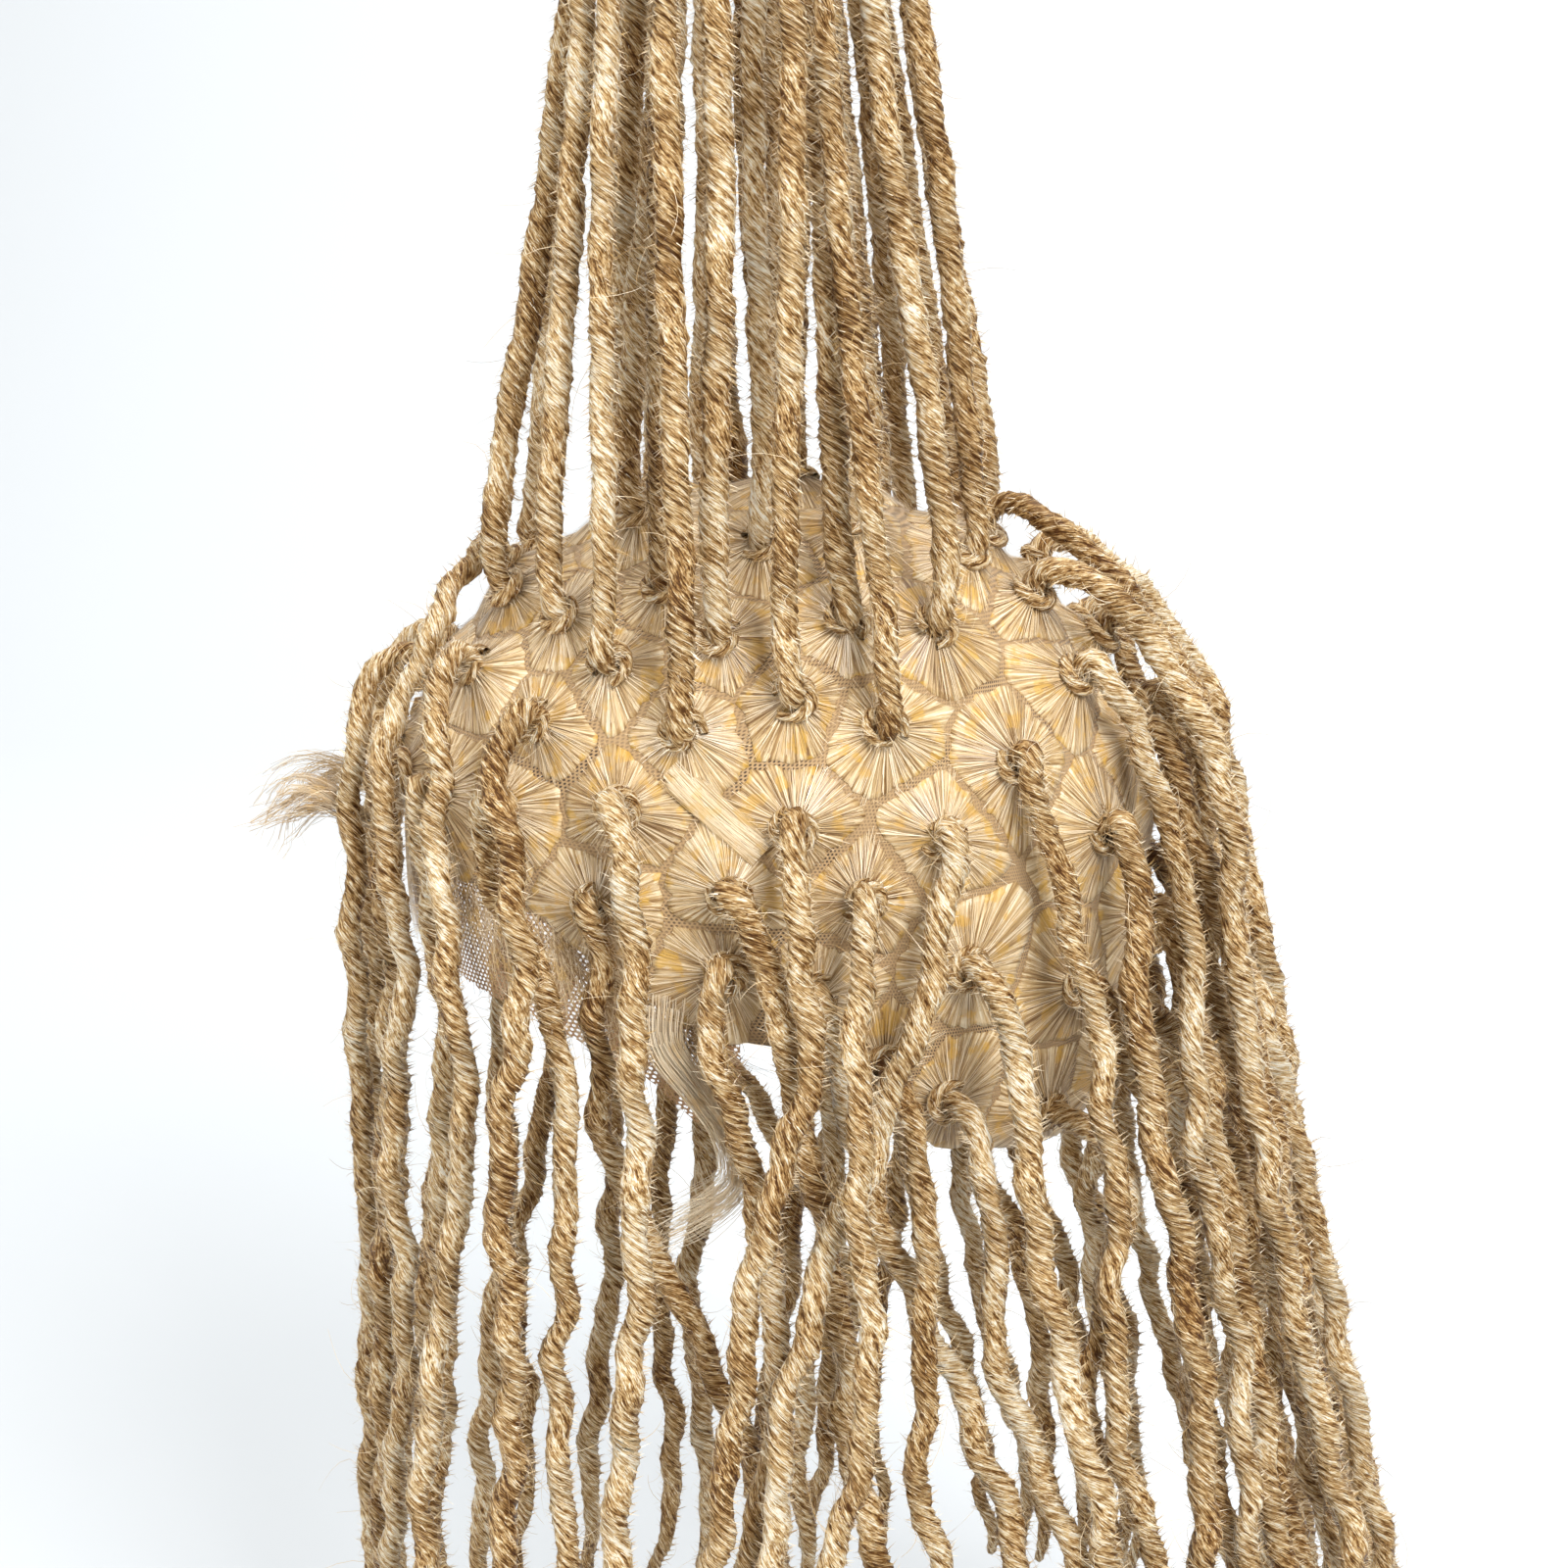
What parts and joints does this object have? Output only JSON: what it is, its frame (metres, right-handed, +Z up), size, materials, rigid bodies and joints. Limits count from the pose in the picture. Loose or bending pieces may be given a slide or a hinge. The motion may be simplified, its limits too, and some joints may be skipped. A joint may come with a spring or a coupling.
{
  "type": "braid wig",
  "caption": "Long wig of wrapped locs knotted into a parted full-lace cap with a lace front, shown held up as on a head with the crown locs lifted.",
  "frame": {"origin": "the middle of the head opening, level with the ear tabs, where a head goes in from below", "axes": "+Z up to the crown, the face side looks along -Y, the wearer's left is +X"},
  "size_m": [0.2489, 0.3023, 0.5317],
  "materials": {
    "hair": "matt twisted synthetic fibre with a soft sheen",
    "lace": "matt fine net"
  },
  "bodies": {
    "root": {"baby_hair_left": "hair", "baby_hair_right": "hair", "ear_locs_left": "hair", "ear_locs_right": "hair", "lace_cap": "lace", "lace_front": "lace", "lifted_locs_left": "hair", "lifted_locs_right": "hair", "loc_left_01": "hair", "loc_left_02": "hair", "loc_left_03": "hair", "loc_left_04": "hair", "loc_left_05": "hair", "loc_left_06": "hair", "loc_left_07": "hair", "loc_left_08": "hair", "loc_left_09": "hair", "loc_left_10": "hair", "loc_left_11": "hair", "loc_left_12": "hair", "loc_left_13": "hair", "loc_left_14": "hair", "loc_left_15": "hair", "loc_left_16": "hair", "loc_left_17": "hair", "loc_left_18": "hair", "loc_left_19": "hair", "loc_left_20": "hair", "loc_left_21": "hair", "loc_left_22": "hair", "loc_middle_1": "hair", "loc_middle_2": "hair", "loc_middle_3": "hair", "loc_middle_4": "hair", "loc_middle_5": "hair", "loc_middle_6": "hair", "loc_middle_7": "hair", "loc_right_01": "hair", "loc_right_02": "hair", "loc_right_03": "hair", "loc_right_04": "hair", "loc_right_05": "hair", "loc_right_06": "hair", "loc_right_07": "hair", "loc_right_08": "hair", "loc_right_09": "hair", "loc_right_10": "hair", "loc_right_11": "hair", "loc_right_12": "hair", "loc_right_13": "hair", "loc_right_14": "hair", "loc_right_15": "hair", "loc_right_16": "hair", "loc_right_17": "hair", "loc_right_18": "hair", "loc_right_19": "hair", "loc_right_20": "hair", "loc_right_21": "hair", "loc_right_22": "hair"}
  },
  "joints": []
}
